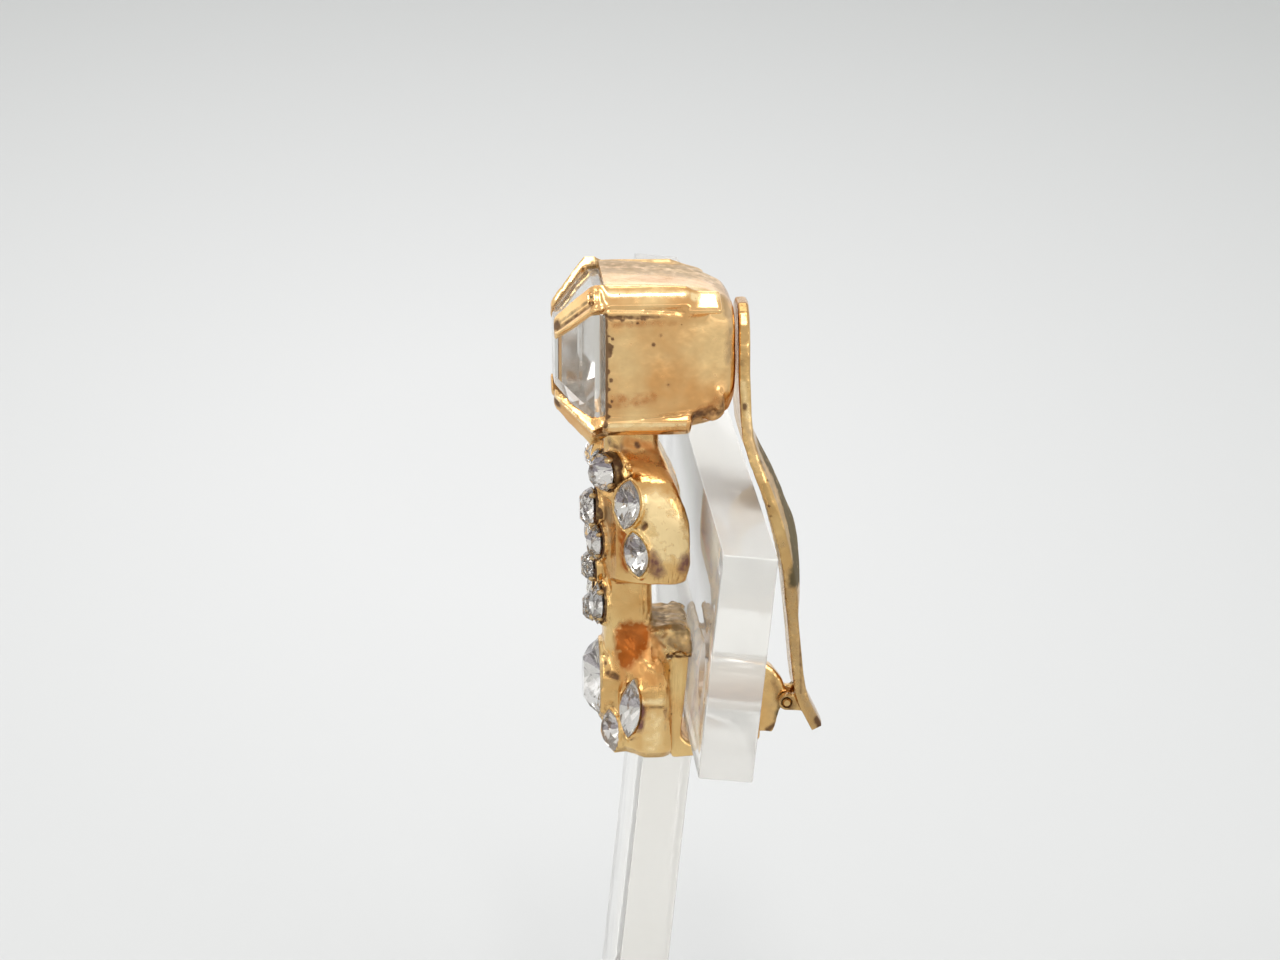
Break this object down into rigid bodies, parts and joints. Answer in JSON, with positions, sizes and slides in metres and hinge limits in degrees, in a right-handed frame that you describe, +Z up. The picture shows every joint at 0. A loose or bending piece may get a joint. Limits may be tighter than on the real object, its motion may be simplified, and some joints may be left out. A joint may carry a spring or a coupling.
{
  "type": "clip-on rhinestone earring on a clear display stand",
  "caption": "Gold-toned clip-on earring with a large square clear stone over a cascade of small ones, clipped to the bar of a clear T-shaped display stand.",
  "frame": {"origin": "middle of the underside of the stand's base", "axes": "+X along the bar, towards the end that the earring is near; +Y to the back, where the clip is; -Y is where the stones face; +Z up"},
  "size_m": [0.076, 0.04, 0.0652],
  "materials": {
    "gold_plate": "gold plate over cast white metal and stamped brass, polished, pitted and a little tarnished",
    "crystal": "clear cut glass with a silvered back",
    "acrylic": "clear cast acrylic sheet with laser-cut edges"
  },
  "bodies": {
    "root": {"stand_base": "acrylic", "stand_tee": "acrylic", "soldered_frame": "gold_plate", "big_stone": "crystal", "hinge_pin": "gold_plate", "round_top": "crystal", "round_upper": "crystal", "round_middle": "crystal", "round_lower": "crystal", "round_big": "crystal", "oval_right": "crystal", "oval_left": "crystal", "navette_inner_upper_right": "crystal", "navette_inner_upper_left": "crystal", "navette_inner_lower_right": "crystal", "navette_inner_lower_left": "crystal", "navette_side_upper_right": "crystal", "navette_side_upper_left": "crystal", "navette_side_lower_right": "crystal", "navette_side_lower_left": "crystal", "petal_side_right": "crystal", "petal_side_left": "crystal", "petal_foot_right": "crystal", "petal_foot_left": "crystal"},
    "clip": {"clip_paddle": "gold_plate"}
  },
  "joints": [
    {"name": "clip_hinge", "type": "hinge", "parent": "root", "child": "clip", "pos_m": [0.025, 0.00845, 0.03913], "axis": [-1, 0, 0], "range_deg": [0, 55], "stiffness_Nm_per_rad": 0.001, "springref_deg": -34.38}
  ]
}
